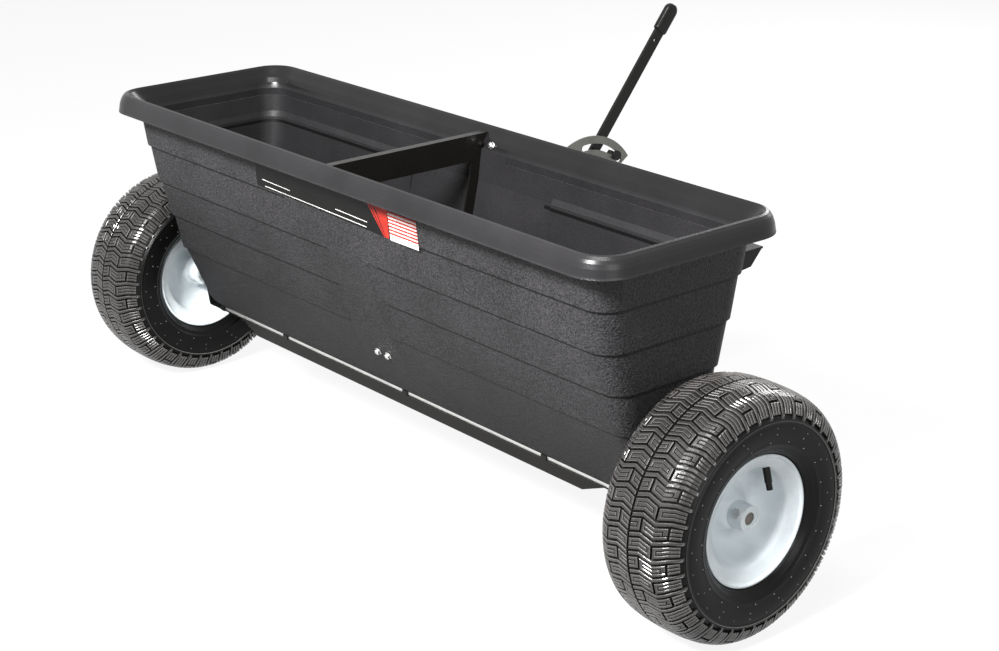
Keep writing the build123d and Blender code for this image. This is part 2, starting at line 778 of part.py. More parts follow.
def control_rod():
    arm = lever_line()[2]
    foot_x, foot_z = crank_point(-crank_arm, 0)
    top = (rod_x, *arm)
    foot = (rod_x, rod_foot_y, foot_z)
    rod = rod_between(top, foot, rod_r) + Pos(*top) * Sphere(rod_r) + Pos(*foot) * Sphere(rod_r)
    rod += rod_between(top, (lever_x + lever_t + rod_r, *arm), rod_r)
    return rod + rod_between(foot, (rod_x, crank_y - 3 / 2 * crank_t, foot_z), rod_r)


def bellcrank():
    plane = Plane(origin=(0, crank_y + crank_t / 2, 0), x_dir=(1, 0, 0), z_dir=(0, -1, 0))
    hinge = (crank_x, crank_pivot_z)
    side = crank_point(-crank_arm, 0)
    down = crank_point(0, -crank_arm)
    face = flat_link(hinge, side, crank_w) + flat_link(hinge, down, crank_w)
    plate = extrude(plane * face, amount=crank_t)
    y_low = crank_y - over
    y_high = crank_y + over
    plate -= rod_between((hinge[0], y_low, hinge[1]), (hinge[0], y_high, hinge[1]), pivot_bolt_r + fit)
    plate -= rod_between((side[0], y_low, side[1]), (side[0], y_high, side[1]), rod_r + crank_slack)
    return plate + rod_between((down[0], crank_y, down[1]), (down[0], lug_y - lug_t, down[1]), rod_r)


def crank_bracket():
    y_in = crank_y + crank_t / 2 + crank_bracket_gap
    y_out = y_in + crank_bracket_t
    low = rail_top - rail_drop
    half = crank_w
    plate = box_between((crank_x - half, y_in, low), (crank_x + half, y_out, crank_pivot_z + half))
    foot_y = rail_half_y + rail_sheet
    plate += box_between((crank_x - half, foot_y, low), (crank_x + half, y_out, low + crank_bracket_t))
    plate += box_between((crank_x - half, foot_y, low), (crank_x + half, foot_y + crank_bracket_t, rail_top - rail_sheet))
    return plate - rod_between((crank_x, y_in - over, crank_pivot_z), (crank_x, y_out + over, crank_pivot_z), pivot_bolt_r)


def crank_pivot():
    y_out = crank_y + crank_t / 2 + crank_bracket_gap + crank_bracket_t
    y_back = crank_y - crank_t / 2 - pivot_bolt_r / 2
    bolt = rod_between((crank_x, y_back, crank_pivot_z), (crank_x, y_out + pivot_bolt_r, crank_pivot_z), pivot_bolt_r)
    bolt += rod_between((crank_x, y_out, crank_pivot_z), (crank_x, y_out + pivot_bolt_r, crank_pivot_z),
                        2 * pivot_bolt_r)
    bolt += rod_between((crank_x, crank_y + crank_t / 2 + seat_gap, crank_pivot_z),
                        (crank_x, y_out - crank_bracket_t, crank_pivot_z), 3 / 2 * pivot_bolt_r)
    back = crank_y - crank_t / 2 - seat_gap
    return bolt + rod_between((crank_x, y_back, crank_pivot_z), (crank_x, back, crank_pivot_z), 3 / 2 * pivot_bolt_r)


def gusset(side):
    # A shelf between two webs, cut to the wall it is moulded against
    deep = half_y_2
    web = [(deep, gusset_top), (gusset_tip_y, gusset_top), (gusset_low_y, gusset_low_z), (deep, gusset_wall_z)]
    inner = gusset_x - gusset_width
    shape = box_between((inner, deep, gusset_top - gusset_t), (gusset_x, gusset_tip_y, gusset_top))
    shape += yz_slab(web, gusset_x - gusset_t, gusset_x) + yz_slab(web, inner, inner + gusset_t)
    shape -= stack(bands[0]) + stack(bands[1])
    return shape if side > 0 else mirror(shape, Plane.YZ)


tongue_rear_y = rail_half_y + rail_sheet + rail_bracket_t
tongue_slope = (tongue_front_z - tongue_rear_z) / (tongue_front_y - tongue_rear_y)


def tongue_z(y):
    return tongue_rear_z + tongue_slope * (y - tongue_rear_y)


def tongue_bar(side_length, start_y, end_y):
    line = Vector(0, end_y - start_y, tongue_z(end_y) - tongue_z(start_y))
    plane = Plane(origin=(0, start_y, tongue_z(start_y)), x_dir=(1, 0, 0), z_dir=line)
    return extrude(plane * RectangleRounded(side_length, side_length, tongue_wall), amount=line.length)


def tongue():
    bar = tongue_bar(tongue_side, tongue_rear_y - over, tongue_front_y + over)
    hole = tongue_bar(tongue_side - 2 * tongue_wall, tongue_rear_y - 2 * over, tongue_front_y + 2 * over)
    room = box_between((-tongue_side, tongue_rear_y, 0), (tongue_side, tongue_front_y, rim_top))
    tube = (bar - hole) & room
    z = tongue_z(stand_y)
    return tube - rod_between((-tongue_side, stand_y, z), (tongue_side, stand_y, z), stand_bolt_r)


def tongue_foot():
    low = (-rail_bracket_half_x, rail_half_y + rail_sheet, rail_top - rail_drop)
    return box_between(low, (rail_bracket_half_x, tongue_rear_y, hopper_bottom))


def side_brace(side):
    start = (side * side_brace_x, rail_half_y, tongue_rear_z)
    end = (0, side_brace_y, tongue_z(side_brace_y))
    bar = bar_between(start, end, brace_bar_w, brace_bar_t, (1, 0, 0))
    y_face = rail_half_y + rail_sheet
    x_low, x_high = sorted((side * tongue_side / 2, side * 2 * side_brace_x))
    return bar & box_between((x_low, y_face, 0), (x_high, tongue_front_y, rim_top))


def tongue_strut():
    start = (0, strut_y, tongue_z(strut_y))
    height = (strut_low + strut_high) / 2
    end = (0, pad_line(height), height)
    bar = bar_between(start, end, strut_w, strut_t, (1, 0, 0))
    bar -= tongue_bar(tongue_side, tongue_rear_y, tongue_front_y)
    trough = [(0, line_2), (half_y_2, line_2), (half_y_1, line_1), (0, line_1)]
    bar -= yz_slab(trough, -strut_w, strut_w)
    line = [(pad_line(strut_low), strut_low), (pad_line(strut_high), strut_high)]
    return bar + yz_slab(strip(line, -strut_t), -strut_w / 2, strut_w / 2)


def hitch():
    low = tongue_front_z - hitch_gap / 2
    high = tongue_front_z + hitch_gap / 2
    back = tongue_front_y + hitch_plate_t
    body = box_between((-hitch_half_x, tongue_front_y, low - hitch_plate_t), (hitch_half_x, back, high + hitch_plate_t))
    for bottom in (low - hitch_plate_t, high):
        body += box_between((-hitch_half_x, back, bottom), (hitch_half_x, hitch_pin_y, bottom + hitch_plate_t))
        body += Pos(0, hitch_pin_y, bottom + hitch_plate_t / 2) * Cylinder(hitch_half_x, hitch_plate_t)
    return body - Pos(0, hitch_pin_y, tongue_front_z) * Cylinder(hitch_pin_r, 2 * tongue_side)


stand_x = tongue_side / 2 + stand_gap


def stand_leg():
    z = tongue_z(stand_y)
    foot = (stand_x + stand_tube / 2, stand_y + stand_rake, stand_foot_t)
    head = Vector(foot[0], stand_y, z)
    line = (head - Vector(*foot)).normalized()
    top = head + line * stand_head
    leg = bar_between(tuple(Vector(*foot) - line * over), tuple(top), stand_tube, stand_tube, (1, 0, 0))
    leg &= box_between((0, 0, stand_foot_t), (tongue_front_y, tongue_front_y, rim_top))
    return leg - rod_between((0, stand_y, z), (2 * stand_x + stand_tube, stand_y, z), stand_bolt_r + fit)


def stand_foot():
    # Its inner edge lines up with the leg's, so that it swings up beside the tongue
    y = stand_y + stand_rake
    low = (stand_x, y - stand_foot_y / 2, 0)
    return box_between(low, (stand_x + stand_foot_x, y + stand_foot_y / 2, stand_foot_t))


def stand_bolt():
    z = tongue_z(stand_y)
    end = stand_x + stand_tube + seat_gap
    start = -tongue_side / 2 - stand_bolt_r
    bolt = rod_between((start, stand_y, z), (end + stand_bolt_r, stand_y, z), stand_bolt_r)
    bolt += rod_between((start, stand_y, z), (-tongue_side / 2, stand_y, z), 2 * stand_bolt_r)
    bolt += rod_between((tongue_side / 2, stand_y, z), (stand_x - seat_gap, stand_y, z), 3 / 2 * stand_bolt_r)
    return bolt + rod_between((end, stand_y, z), (end + stand_bolt_r, stand_y, z), 2 * stand_bolt_r)


def main():
    save("hopper", hopper())
    save("middle_brace", middle_brace())
    save("bottom_rail", bottom_rail())
    save("gate", gate())
    for name, side in (("right", 1), ("left", -1)):
        save(name + "_end_plate", end_plate(side))
        save(name + "_bush", bush(side))
        save(name + "_collar", collar(side))
        save(name + "_agitator", agitator(side))
        save(name + "_gusset", gusset(side))
        save(name + "_tongue_brace", side_brace(side))
        save(name + "_rim", Pos(side * wheel_x, 0, 0) * wheel_rim())
        save(name + "_hub", Pos(side * wheel_x, 0, 0) * wheel_hub(side))
        save(name + "_tyre", Pos(side * wheel_x, 0, 0) * tyre())
        stem = Pos(wheel_x, 0, 0) * valve()
        save(name + "_valve", stem if side > 0 else mirror(stem, Plane.YZ))
    save("axle", axle())
    save("drive_bolt", drive_bolt())
    save("axle_washer", washer(-1))
    save("axle_cotter", cotter())
    save("gauge_plate", gauge_plate())
    save("gauge_stop", gauge_stop())
    save("lever", lever())
    save("lever_grip", lever_grip())
    save("lever_pivot", lever_pivot())
    save("control_rod", control_rod())
    save("bellcrank", bellcrank())
    save("crank_bracket", crank_bracket())
    save("crank_pivot", crank_pivot())
    save("tongue", tongue())
    save("tongue_foot", tongue_foot())
    save("tongue_strut", tongue_strut())
    save("hitch", hitch())
    # The stand is drawn on the right of the tongue and fitted on its left
    save("stand_leg", mirror(stand_leg(), Plane.YZ))
    save("stand_foot", mirror(stand_foot(), Plane.YZ))
    save("stand_bolt", mirror(stand_bolt(), Plane.YZ))


main()
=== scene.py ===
# Tow-behind drop spreader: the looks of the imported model, in its own frame.
# The spreader's lengths are written in millimetres and multiplied by MM; the stage's are in metres.
import math

import bpy
from mathutils import Matrix, Vector


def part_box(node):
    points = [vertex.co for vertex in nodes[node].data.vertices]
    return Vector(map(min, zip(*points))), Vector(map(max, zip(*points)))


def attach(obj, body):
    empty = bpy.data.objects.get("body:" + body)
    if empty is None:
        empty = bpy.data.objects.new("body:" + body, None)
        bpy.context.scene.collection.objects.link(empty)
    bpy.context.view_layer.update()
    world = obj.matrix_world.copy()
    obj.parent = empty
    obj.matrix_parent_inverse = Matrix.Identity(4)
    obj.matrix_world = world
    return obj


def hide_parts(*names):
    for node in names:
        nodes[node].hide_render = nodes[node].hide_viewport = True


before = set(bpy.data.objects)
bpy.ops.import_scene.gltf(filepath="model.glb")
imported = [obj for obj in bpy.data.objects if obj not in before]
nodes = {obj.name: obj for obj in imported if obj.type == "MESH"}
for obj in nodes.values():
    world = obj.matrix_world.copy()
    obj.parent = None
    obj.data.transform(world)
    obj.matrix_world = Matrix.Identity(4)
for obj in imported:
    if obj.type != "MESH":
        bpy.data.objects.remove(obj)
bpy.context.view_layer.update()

MM = 0.001
# The axle lies this far behind the frame's own origin
FORWARD = 290.25 * MM
WHEEL_RADIUS = 190.5
WHEEL_X = 706 * MM
AXLE_Z = WHEEL_RADIUS * MM


# Materials
def new_material(name, colour, roughness, metallic=0.0, coat=0.0, coat_roughness=0.1, specular=0.5):
    material = bpy.data.materials.new(name)
    material.use_nodes = True
    shader = material.node_tree.nodes["Principled BSDF"]
    shader.inputs["Base Color"].default_value = (*colour, 1)
    shader.inputs["Roughness"].default_value = roughness
    shader.inputs["Metallic"].default_value = metallic
    shader.inputs["Coat Weight"].default_value = coat
    shader.inputs["Coat Roughness"].default_value = coat_roughness
    shader.inputs["Specular IOR Level"].default_value = specular
    return material, shader


def node(material, kind, **settings):
    made = material.node_tree.nodes.new(kind)
    for key, value in settings.items():
        setattr(made, key, value)
    return made


def join(material, start, start_socket, end, end_socket):
    material.node_tree.links.new(start.outputs[start_socket], end.inputs[end_socket])


def object_place(material):
    return node(material, "ShaderNodeTexCoord")


def noise(material, where, scale, detail, rough, stretch=(1, 1, 1)):
    mapping = node(material, "ShaderNodeMapping")
    mapping.inputs["Scale"].default_value = stretch
    made = node(material, "ShaderNodeTexNoise")
    made.inputs["Scale"].default_value = scale
    made.inputs["Detail"].default_value = detail
    made.inputs["Roughness"].default_value = rough
    join(material, where, "Object", mapping, "Vector")
    join(material, mapping, "Vector", made, "Vector")
    return made


def ramp(material, source, socket, stops):
    # Two stops, each a position and a colour
    made = node(material, "ShaderNodeValToRGB")
    for element, (position, colour) in zip(made.color_ramp.elements, stops):
        element.position = position
        element.color = (*colour, 1)
    join(material, source, socket, made, "Fac")
    return made


def spread(material, source, socket, low, high, out_low, out_high):
    made = node(material, "ShaderNodeMapRange")
    made.inputs["From Min"].default_value = low
    made.inputs["From Max"].default_value = high
    made.inputs["To Min"].default_value = out_low
    made.inputs["To Max"].default_value = out_high
    join(material, source, socket, made, "Value")
    return made


def bump(material, shader, source, socket, strength, distance):
    made = node(material, "ShaderNodeBump")
    made.inputs["Strength"].default_value = strength
    made.inputs["Distance"].default_value = distance
    join(material, source, socket, made, "Height")
    join(material, made, "Normal", shader, "Normal")


def times(material, first, first_socket, second, second_socket):
    made = node(material, "ShaderNodeMath", operation="MULTIPLY")
    join(material, first, first_socket, made, 0)
    join(material, second, second_socket, made, 1)
    return made


def shade(value):
    return (value, value, value)


# Each crease of the hopper: its height, and the half length of the plain pad that interrupts it
CREASES = ((484.5, 160), (417, 68), (350, 68), (283, 68))
# Height and darkness of the painted shade band under each crease's ledge
CREASE_SHADE_DEEP = 5.5
CREASE_SHADE_TONE = 0.2
# Heights between which the wall's grain gives way to the smooth rolled rim
RIM_FOOT, RIM_START = 541 * MM, 549 * MM
# Heights between which the painted shade on the walls fades out upwards
SHADE_LOW, SHADE_HIGH = 200 * MM, 450 * MM
# The step from faces that look at the hopper's middle to those that look away from it
INSIDE, OUTSIDE = -0.03, 0.0
GRAIN_SCALE = 330
POLY_DARK = (0.021, 0.020, 0.0213)
POLY_LIGHT = (0.033, 0.0315, 0.0335)


def painted_crease_shade(material, split, tone):
    # Painted shade: a dark band in the corner under each ledge of the wall, where the ledge's shadow
    # falls
    sideways = node(material, "ShaderNodeMath", operation="ABSOLUTE")
    join(material, split, "X", sideways, 0)
    for height, pad in CREASES:
        near = node(material, "ShaderNodeMath", operation="COMPARE")
        near.inputs[1].default_value = (height - CREASE_SHADE_DEEP / 2) * MM
        near.inputs[2].default_value = CREASE_SHADE_DEEP / 2 * MM
        join(material, split, "Z", near, 0)
        past = node(material, "ShaderNodeMath", operation="GREATER_THAN")
        past.inputs[1].default_value = pad * MM
        join(material, sideways, "Value", past, 0)
        both = times(material, near, "Value", past, "Value")
        left = spread(material, both, "Value", 0, 1, 1, CREASE_SHADE_TONE)
        tone = times(material, tone, "Value", left, "Result")
    return tone


def outward_look(material, where, facing):
    # Place from the hopper's middle against the face's way out: below nought on inside faces
    centred = node(material, "ShaderNodeVectorMath", operation="ADD")
    centred.inputs[1].default_value = (0, FORWARD, 0)
    join(material, where, "Object", centred, 0)
    level_place = node(material, "ShaderNodeVectorMath", operation="MULTIPLY")
    level_place.inputs[1].default_value = (0.3, 1, 0)
    join(material, centred, "Vector", level_place, 0)
    outward = node(material, "ShaderNodeVectorMath", operation="DOT_PRODUCT")
    join(material, level_place, "Vector", outward, 0)
    join(material, facing, "Normal", outward, 1)
    return outward


def moulded_poly():
    # Charcoal polyethylene: pebble grain on the walls, smooth and glossier on the rolled rim
    material, shader = new_material("moulded_poly", shade(0.03), 0.5, specular=0.22)
    where = object_place(material)
    split = node(material, "ShaderNodeSeparateXYZ")
    join(material, where, "Object", split, "Vector")
    facing = node(material, "ShaderNodeNewGeometry")
    outward = outward_look(material, where, facing)

    def wall_to_rim(wall, rim):
        return spread(material, split, "Z", RIM_FOOT, RIM_START, wall, rim)

    def inside_to_outside(inside):
        return spread(material, outward, "Value", INSIDE, OUTSIDE, inside, 1.0)

    # Pebbles and a fine noise raise the grain, which fades on the rim and is calm inside
    pebble = node(material, "ShaderNodeTexVoronoi")
    pebble.inputs["Scale"].default_value = GRAIN_SCALE
    join(material, where, "Object", pebble, "Vector")
    fine = noise(material, where, GRAIN_SCALE, 3, 0.7)
    both = node(material, "ShaderNodeMath", operation="ADD")
    join(material, pebble, "Distance", both, 0)
    join(material, fine, "Fac", both, 1)
    grained = wall_to_rim(1.0, 0.04)
    calm = inside_to_outside(0.15)
    faded = times(material, both, "Value", grained, "Result")
    height = times(material, faded, "Value", calm, "Result")
    bump(material, shader, height, "Value", 0.9, 1.2 * MM)

    # The colour drifts slowly and is specked where the grain is
    cloud = noise(material, where, 7, 4, 0.6)
    tint = ramp(material, cloud, "Fac", ((0.3, POLY_DARK), (0.7, POLY_LIGHT)))
    speck = spread(material, fine, "Fac", 0.42, 0.6, 0.5, 1.9)
    amount = times(material, grained, "Result", calm, "Result")
    mottled = node(material, "ShaderNodeMix", data_type="RGBA", blend_type="MULTIPLY")
    join(material, amount, "Value", mottled, 0)
    join(material, tint, "Color", mottled, 6)
    join(material, speck, "Result", mottled, 7)

    # Painted shade: darker inside the hopper, low on the walls, on the end walls and under each ledge;
    # also darker on the smooth rim
    tone = times(material, inside_to_outside(0.55), "Result", wall_to_rim(1.0, 0.6), "Result")
    # Painted shade, deepening towards the foot of the walls
    low_wall_shade = spread(material, split, "Z", SHADE_LOW, SHADE_HIGH, 0.4, 1.0)
    tone = times(material, tone, "Value", low_wall_shade, "Result")
    # Painted shade on the end walls
    way = node(material, "ShaderNodeSeparateXYZ")
    join(material, facing, "Normal", way, "Vector")
    sideways = node(material, "ShaderNodeMath", operation="ABSOLUTE")
    join(material, way, "X", sideways, 0)
    end_wall_shade = spread(material, sideways, "Value", 0.5, 0.8, 1.0, 0.72)
    tone = times(material, tone, "Value", end_wall_shade, "Result")
    # Painted shade under each ledge
    tone = painted_crease_shade(material, split, tone)
    darkened = node(material, "ShaderNodeVectorMath", operation="SCALE")
    join(material, mottled, 2, darkened, 0)
    join(material, tone, "Value", darkened, "Scale")
    join(material, darkened, "Vector", shader, "Base Color")

    rough = times(material, wall_to_rim(0.58, 0.3), "Result", inside_to_outside(0.72), "Result")
    join(material, rough, "Value", shader, "Roughness")
    return material


def drifting(material, shader, cloud, low, high):
    # The base colour wanders between two shades with a slow noise
    tint = ramp(material, cloud, "Fac", (low, high))
    join(material, tint, "Color", shader, "Base Color")
    return tint


def uneven_gloss(material, shader, source, least, most):
    uneven = spread(material, source, "Fac", 0.3, 0.7, least, most)
    join(material, uneven, "Result", shader, "Roughness")


def scaled_colour(colour, share):
    return tuple(min(channel * share, 1) for channel in colour)


def painted(name, colour, roughness, coat=0.12, specular=0.35):
    # Sprayed paint with a little orange peel and wear
    material, shader = new_material(name, colour, roughness, coat=coat, coat_roughness=0.2,
                                    specular=specular)
    where = object_place(material)
    cloud = noise(material, where, 14, 4, 0.6)
    drifting(material, shader, cloud, (0.3, scaled_colour(colour, 0.86)),
             (0.7, scaled_colour(colour, 1.1)))
    wear = noise(material, where, 60, 3, 0.6)
    uneven_gloss(material, shader, wear, roughness * 0.85, roughness * 1.2)
    peel = noise(material, where, 240, 2, 0.5)
    bump(material, shader, peel, "Fac", 0.1, 0.4 * MM)
    return material


def plated(name, colour, roughness, brushed=(1, 1, 1)):
    # Bare or plated metal, with fine lines where it is brushed
    material, shader = new_material(name, colour, roughness, metallic=1.0)
    where = object_place(material)
    cloud = noise(material, where, 30, 5, 0.65)
    drifting(material, shader, cloud, (0.32, scaled_colour(colour, 0.78)), (0.68, colour))
    lines = noise(material, where, 300, 3, 0.6, brushed)
    uneven_gloss(material, shader, lines, roughness * 0.8, roughness * 1.25)
    bump(material, shader, lines, "Fac", 0.12, 0.3 * MM)
    return material


# Colour of the painted highlight on the tyre's mould ridge
RING_HIGHLIGHT = (0.10, 0.098, 0.092)


def painted_ring_highlight(material, shader, where, tint, radius):
    # Painted highlight: a thin pale line round the wheel's axis, on the ridge where the halves of the
    # tyre's mould meet
    flat = node(material, "ShaderNodeVectorMath", operation="MULTIPLY_ADD")
    flat.inputs[1].default_value = (0, 1, 1)
    flat.inputs[2].default_value = (0, FORWARD, -AXLE_Z)
    join(material, where, "Object", flat, 0)
    away = node(material, "ShaderNodeVectorMath", operation="LENGTH")
    join(material, flat, "Vector", away, 0)
    beside = node(material, "ShaderNodeMath", operation="SUBTRACT")
    beside.inputs[1].default_value = radius * MM
    join(material, away, "Value", beside, 0)
    gap = node(material, "ShaderNodeMath", operation="ABSOLUTE")
    join(material, beside, "Value", gap, 0)
    line = spread(material, gap, "Value", 0.3 * MM, 0.8 * MM, 1.0, 0.0)
    mixed = node(material, "ShaderNodeMix", data_type="RGBA")
    join(material, line, "Result", mixed, 0)
    join(material, tint, "Color", mixed, 6)
    mixed.inputs[7].default_value = (*RING_HIGHLIGHT, 1)
    join(material, mixed, 2, shader, "Base Color")


def rubber(name, colour, roughness, specular=0.45, ring=0):
    material, shader = new_material(name, colour, roughness, specular=specular)
    where = object_place(material)
    cloud = noise(material, where, 22, 4, 0.6)
    tint = drifting(material, shader, cloud, (0.3, scaled_colour(colour, 0.75)),
                    (0.7, scaled_colour(colour, 1.3)))
    # A painted highlight along the mould ridge
    if ring:
        painted_ring_highlight(material, shader, where, tint, ring)
    fine = noise(material, where, 420, 3, 0.6)
    uneven_gloss(material, shader, fine, roughness * 0.85, roughness * 1.15)
    bump(material, shader, fine, "Fac", 0.25, 0.4 * MM)
    return material


MOULD_RING = 150.6

poly = moulded_poly()
black_paint = painted("black_paint", (0.0062, 0.0058, 0.0052), 0.3, 0.03, 0.16)
rim_paint = painted("rim_paint", (0.73, 0.79, 0.815), 0.4, 0.06)
zinc_plate = plated("zinc_plate", (0.17, 0.172, 0.155), 0.42)
raw_steel = plated("raw_steel", (0.16, 0.145, 0.13), 0.5)
galvanised = plated("galvanised", (0.80, 0.80, 0.78), 0.38, (0.05, 1, 1))
bright_zinc = plated("bright_zinc", (0.78, 0.78, 0.77), 0.3)
tread_rubber = rubber("tread_rubber", (0.0175, 0.0165, 0.0162), 0.27, specular=0.6)
# Painted highlight: the tread blocks' bevelled edges are a lighter rubber than their tops
edge_highlight_rubber = rubber("edge_highlight_rubber", (0.062, 0.058, 0.055), 0.22, specular=0.8)
# Painted glint: the moulding spikes are a lighter rubber than the sidewall
nub_glint_rubber = rubber("nub_glint_rubber", (0.09, 0.088, 0.085), 0.4)
# The sidewall carries a painted highlight along its mould ridge
side_rubber = rubber("side_rubber", (0.0030, 0.0029, 0.0028), 0.33, specular=0.12,
                     ring=MOULD_RING)
vinyl = rubber("vinyl", (0.0055, 0.0052, 0.0048), 0.22, specular=0.2)
nylon = rubber("nylon", (0.03, 0.03, 0.03), 0.5)

# Each finish and the CAD nodes that wear it; the second table holds the pieces that come in pairs
single_finishes = (
    (poly, ("hopper",)),
    (black_paint, ("middle_brace", "bottom_rail", "lever", "crank_bracket", "tongue", "tongue_foot",
                   "tongue_strut", "hitch", "stand_leg", "stand_foot")),
    (bright_zinc, ("drive_bolt", "axle_washer", "axle_cotter", "lever_pivot", "control_rod",
                   "crank_pivot", "stand_bolt")),
    (zinc_plate, ("gauge_plate", "bellcrank")),
    (galvanised, ("gate",)),
    (raw_steel, ("axle",)),
    (vinyl, ("gauge_stop", "lever_grip")),
)
paired_finishes = (
    (black_paint, ("end_plate", "gusset", "tongue_brace")),
    (bright_zinc, ("collar", "agitator")),
    (nylon, ("bush",)),
    (rim_paint, ("rim", "hub")),
    (side_rubber, ("tyre",)),
    (vinyl, ("valve",)),
)
finishes = {name: finish for finish, names in single_finishes for name in names}
for side in ("right", "left"):
    finishes.update({side + "_" + name: finish for finish, names in paired_finishes for name in names})
for name, piece in nodes.items():
    piece.data.materials.clear()
    piece.data.materials.append(finishes[name])


# Modelling helpers
WELD = 0.02 * MM


def only(piece):
    bpy.ops.object.select_all(action="DESELECT")
    piece.select_set(True)
    bpy.context.view_layer.objects.active = piece


def edit(piece):
    # Into edit mode with everything selected
    only(piece)
    bpy.ops.object.mode_set(mode="EDIT")
    bpy.ops.mesh.select_all(action="SELECT")


def leave():
    bpy.ops.object.mode_set(mode="OBJECT")


def outline(name, points):
    # A flat face on the given corners, started from a round primitive
    bpy.ops.object.select_all(action="DESELECT")
    bpy.ops.mesh.primitive_circle_add(vertices=len(points), fill_type="NGON")
    piece = bpy.context.object
    piece.name = name
    for vertex, point in zip(piece.data.vertices, points):
        vertex.co = point
    return piece


def joined(name, pieces):
    bpy.ops.object.select_all(action="DESELECT")
    for piece in pieces:
        piece.select_set(True)
    bpy.context.view_layer.objects.active = pieces[0]
    bpy.ops.object.join()
    pieces[0].name = name
    return pieces[0]


def settle(piece):
    # The place goes into the mesh, so that the object sits at the origin
    only(piece)
    bpy.ops.object.transform_apply(location=True, rotation=True, scale=True)


def point_outwards():
    bpy.ops.mesh.select_all(action="SELECT")
    bpy.ops.mesh.normals_make_consistent(inside=False)


def raise_selected(way):
    bpy.ops.mesh.extrude_region_move(TRANSFORM_OT_translate={"value": way})


def smooth_below(piece, angle):
    only(piece)
    bpy.ops.object.shade_smooth_by_angle(angle=math.radians(angle))


def copy_of(piece):
    # A copy with its own mesh
    copy = piece.copy()
    copy.data = piece.data.copy()
    bpy.context.scene.collection.objects.link(copy)
    return copy


def open_section(piece, last):
    # Delete the edge that closes the section from its last point back to its first
    for edge in piece.data.edges:
        edge.select = set(edge.vertices) == {0, last}
    for vertex in piece.data.vertices:
        vertex.select = False
    only(piece)
    bpy.ops.object.mode_set(mode="EDIT")
    bpy.context.tool_settings.mesh_select_mode = (False, True, False)
    bpy.ops.mesh.delete(type="EDGE")
    bpy.context.tool_settings.mesh_select_mode = (True, False, False)


def turned_piece(name, points, steps, middle, closed):
    # Spin a section of (along the axle, radius) once round the axle
    section = [(middle[0] + x * MM, middle[1], middle[2] + r * MM) for x, r in points]
    piece = outline(name, section)
    settle(piece)
    edit(piece)
    bpy.ops.mesh.delete(type="ONLY_FACE")
    if not closed:
        leave()
        open_section(piece, len(points) - 1)
    bpy.ops.mesh.select_all(action="SELECT")
    bpy.ops.mesh.spin(steps=steps, angle=2 * math.pi, center=middle, axis=(1, 0, 0))
    bpy.ops.mesh.select_all(action="SELECT")
    bpy.ops.mesh.remove_doubles(threshold=WELD)
    bpy.ops.mesh.normals_make_consistent(inside=False)
    leave()
    piece.data.shade_smooth()
    return piece


def soften(piece, width, segments, angle=40):
    only(piece)
    modifier = piece.modifiers.new("soft_edges", "BEVEL")
    modifier.width = width
    modifier.segments = segments
    modifier.limit_method = "ANGLE"
    modifier.angle_limit = math.radians(angle)
    bpy.ops.object.modifier_apply(modifier=modifier.name)


# Tyres
# The tread repeats this often round the wheel, each time with two rows of blocks
REPEATS = 21
ROWS_PITCH = math.pi * WHEEL_RADIUS / REPEATS
TREAD_DEEP = 6.2
# How far the casing reaches up between the feet of the blocks
CASING_LAP = 0.4
EDGE_BEVEL = 0.9 * MM
# Along a row: where its blocks end, and where the bar between it and the next row starts and ends
BLOCK_END, BAR_START, BAR_END = 16.8, 20.2, 25.4
# Width of the rubber round a block's slit, and of the slit
ARM, SIPE = 4.6, 1.3
# Across the tread: half the middle groove, the blocks' outer end and the bars' outer end
GROOVE_SIDE, BLOCK_SIDE, BAR_SIDE = 2.0, 71.6, 73.2
# Across the first row: where its inner block ends and its outer block starts
FIRST_INNER_END, FIRST_OUTER_START = 40.6, 44.4
# Across the second row: the same for its small inner block and its long middle block, then its ribs
SECOND_INNER_END, MIDDLE_START, MIDDLE_END, RIBS_START = 18.6, 22.2, 61.0, 63.6
# From one rib to the next, and how many there are
RIB_PITCH, RIBS = 6.1, 3
# A point this near to the tread's face or to a turn of its wave counts as on it
NEAR_FACE, NEAR_TURN = 0.1 * MM, 0.5
# The tread's waves: how far a row is pushed back at each distance from the middle groove
wave = ((0, 0), (21, -6.3), (43.5, 0.3), (64, -5.5), (75, -4.2))
# Distances at which the flat tread is cut so that it can bend to the crown
bends = (21, 29, 43.5, 52, 58, 63, 67)
# Outer shape from the crown down to the shoulder: distance from the middle and radius
crown = ((0, 190.4), (15, 190.1), (29, 189.3), (43.5, 187.4), (52, 185), (58, 181.6), (63, 177),
         (67, 171.2), (70, 165), (72.2, 158.5))
# Round the sidewall with its mould ring and bead, and back up inside
sidewall = ((70.2, 156), (72.4, 153.6), (74.2, 153.2), (74.6, 151.8), (74.2, 150.4), (73.3, 150),
            (73.9, 146), (74.2, 140), (73.9, 132), (73.0, 124), (71.8, 117.6), (71.9, 116.6),
            (71.2, 115.6), (70.6, 115.2), (68.6, 109.4), (68.4, 108.4), (67.4, 107.4), (66.6, 107.2),
            (64.6, 103.4), (62.2, 101.2), (60.4, 100.2), (58.2, 99.4), (55.6, 96), (53.2, 91),
            (49.4, 85.4), (47, 80), (41, 77))
lining = ((48, 96), (66, 116), (67, 157), (52, 174), (28, 178))
# Rings of moulding spikes: radius, distance from the tyre's middle, count and first turn
nub_rings = ((141, 73.2, 26, 0.1), (132, 73.2, 14, 0.3), (121, 72.2, 20, 0.25))
NUB_FOOT, NUB_TIP, NUB_LENGTH = 1.3 * MM, 0.9 * MM, 3 * MM


def along(table, place):
    for (a, low), (b, high) in zip(table, table[1:]):
        if place <= b:
            return low + (high - low) * (place - a) / (b - a)
    return table[-1][1]


